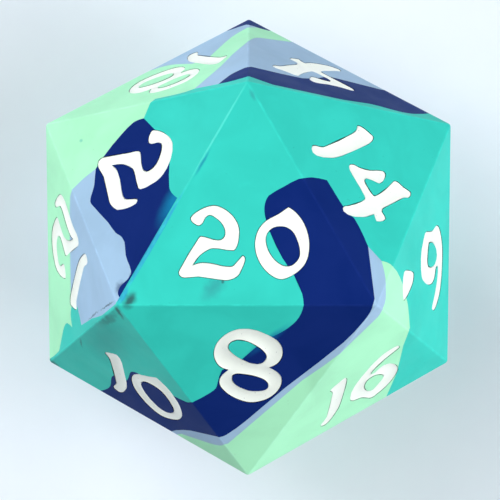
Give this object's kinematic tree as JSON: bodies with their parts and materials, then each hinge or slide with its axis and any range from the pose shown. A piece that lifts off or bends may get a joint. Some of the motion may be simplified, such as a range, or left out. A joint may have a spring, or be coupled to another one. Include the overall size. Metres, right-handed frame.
{
  "type": "polyhedral die",
  "caption": "Oversize soft icosahedral die in swirled blue, teal and mint colours, with recessed numerals filled in white on every face; rests on any face.",
  "frame": {"origin": "centre of the die, which is the centre of its bounding box", "axes": "+Z out of the 20 face, so the die rests on the 1 face with -Z down; +Y towards the corner shared by the 18 and the 4; +X completes a right-handed frame, towards the 6"},
  "size_m": [0.0466, 0.0538, 0.0438],
  "materials": {
    "silicone_teal": "satin cast silicone, teal",
    "silicone_navy": "satin cast silicone, navy",
    "silicone_periwinkle": "satin cast silicone, periwinkle",
    "silicone_mint": "satin cast silicone, mint",
    "ink_white": "thick white paint filled into the numerals"
  },
  "bodies": {
    "root": {"teal_body": "silicone_teal", "navy_band": "silicone_navy", "periwinkle_ribbon": "silicone_periwinkle", "mint_band": "silicone_mint", "navy_left": "silicone_navy", "periwinkle_left": "silicone_periwinkle", "mint_left": "silicone_mint", "periwinkle_shoulder": "silicone_periwinkle", "periwinkle_back": "silicone_periwinkle", "navy_back": "silicone_navy", "navy_tip": "silicone_navy", "ink_20_tens": "ink_white", "ink_20_ones": "ink_white", "ink_14_tens": "ink_white", "ink_14_ones": "ink_white", "ink_2": "ink_white", "ink_8": "ink_white", "ink_18_tens": "ink_white", "ink_18_ones": "ink_white", "ink_4": "ink_white", "ink_12_tens": "ink_white", "ink_12_ones": "ink_white", "ink_10_tens": "ink_white", "ink_10_ones": "ink_white", "ink_6": "ink_white", "ink_6_dot": "ink_white", "ink_16_tens": "ink_white", "ink_16_ones": "ink_white", "ink_1": "ink_white", "ink_7": "ink_white", "ink_19_tens": "ink_white", "ink_19_ones": "ink_white", "ink_13_tens": "ink_white", "ink_13_ones": "ink_white", "ink_3": "ink_white", "ink_17_tens": "ink_white", "ink_17_ones": "ink_white", "ink_9": "ink_white", "ink_9_dot": "ink_white", "ink_11_tens": "ink_white", "ink_11_ones": "ink_white", "ink_15_tens": "ink_white", "ink_15_ones": "ink_white", "ink_5": "ink_white"}
  },
  "joints": []
}
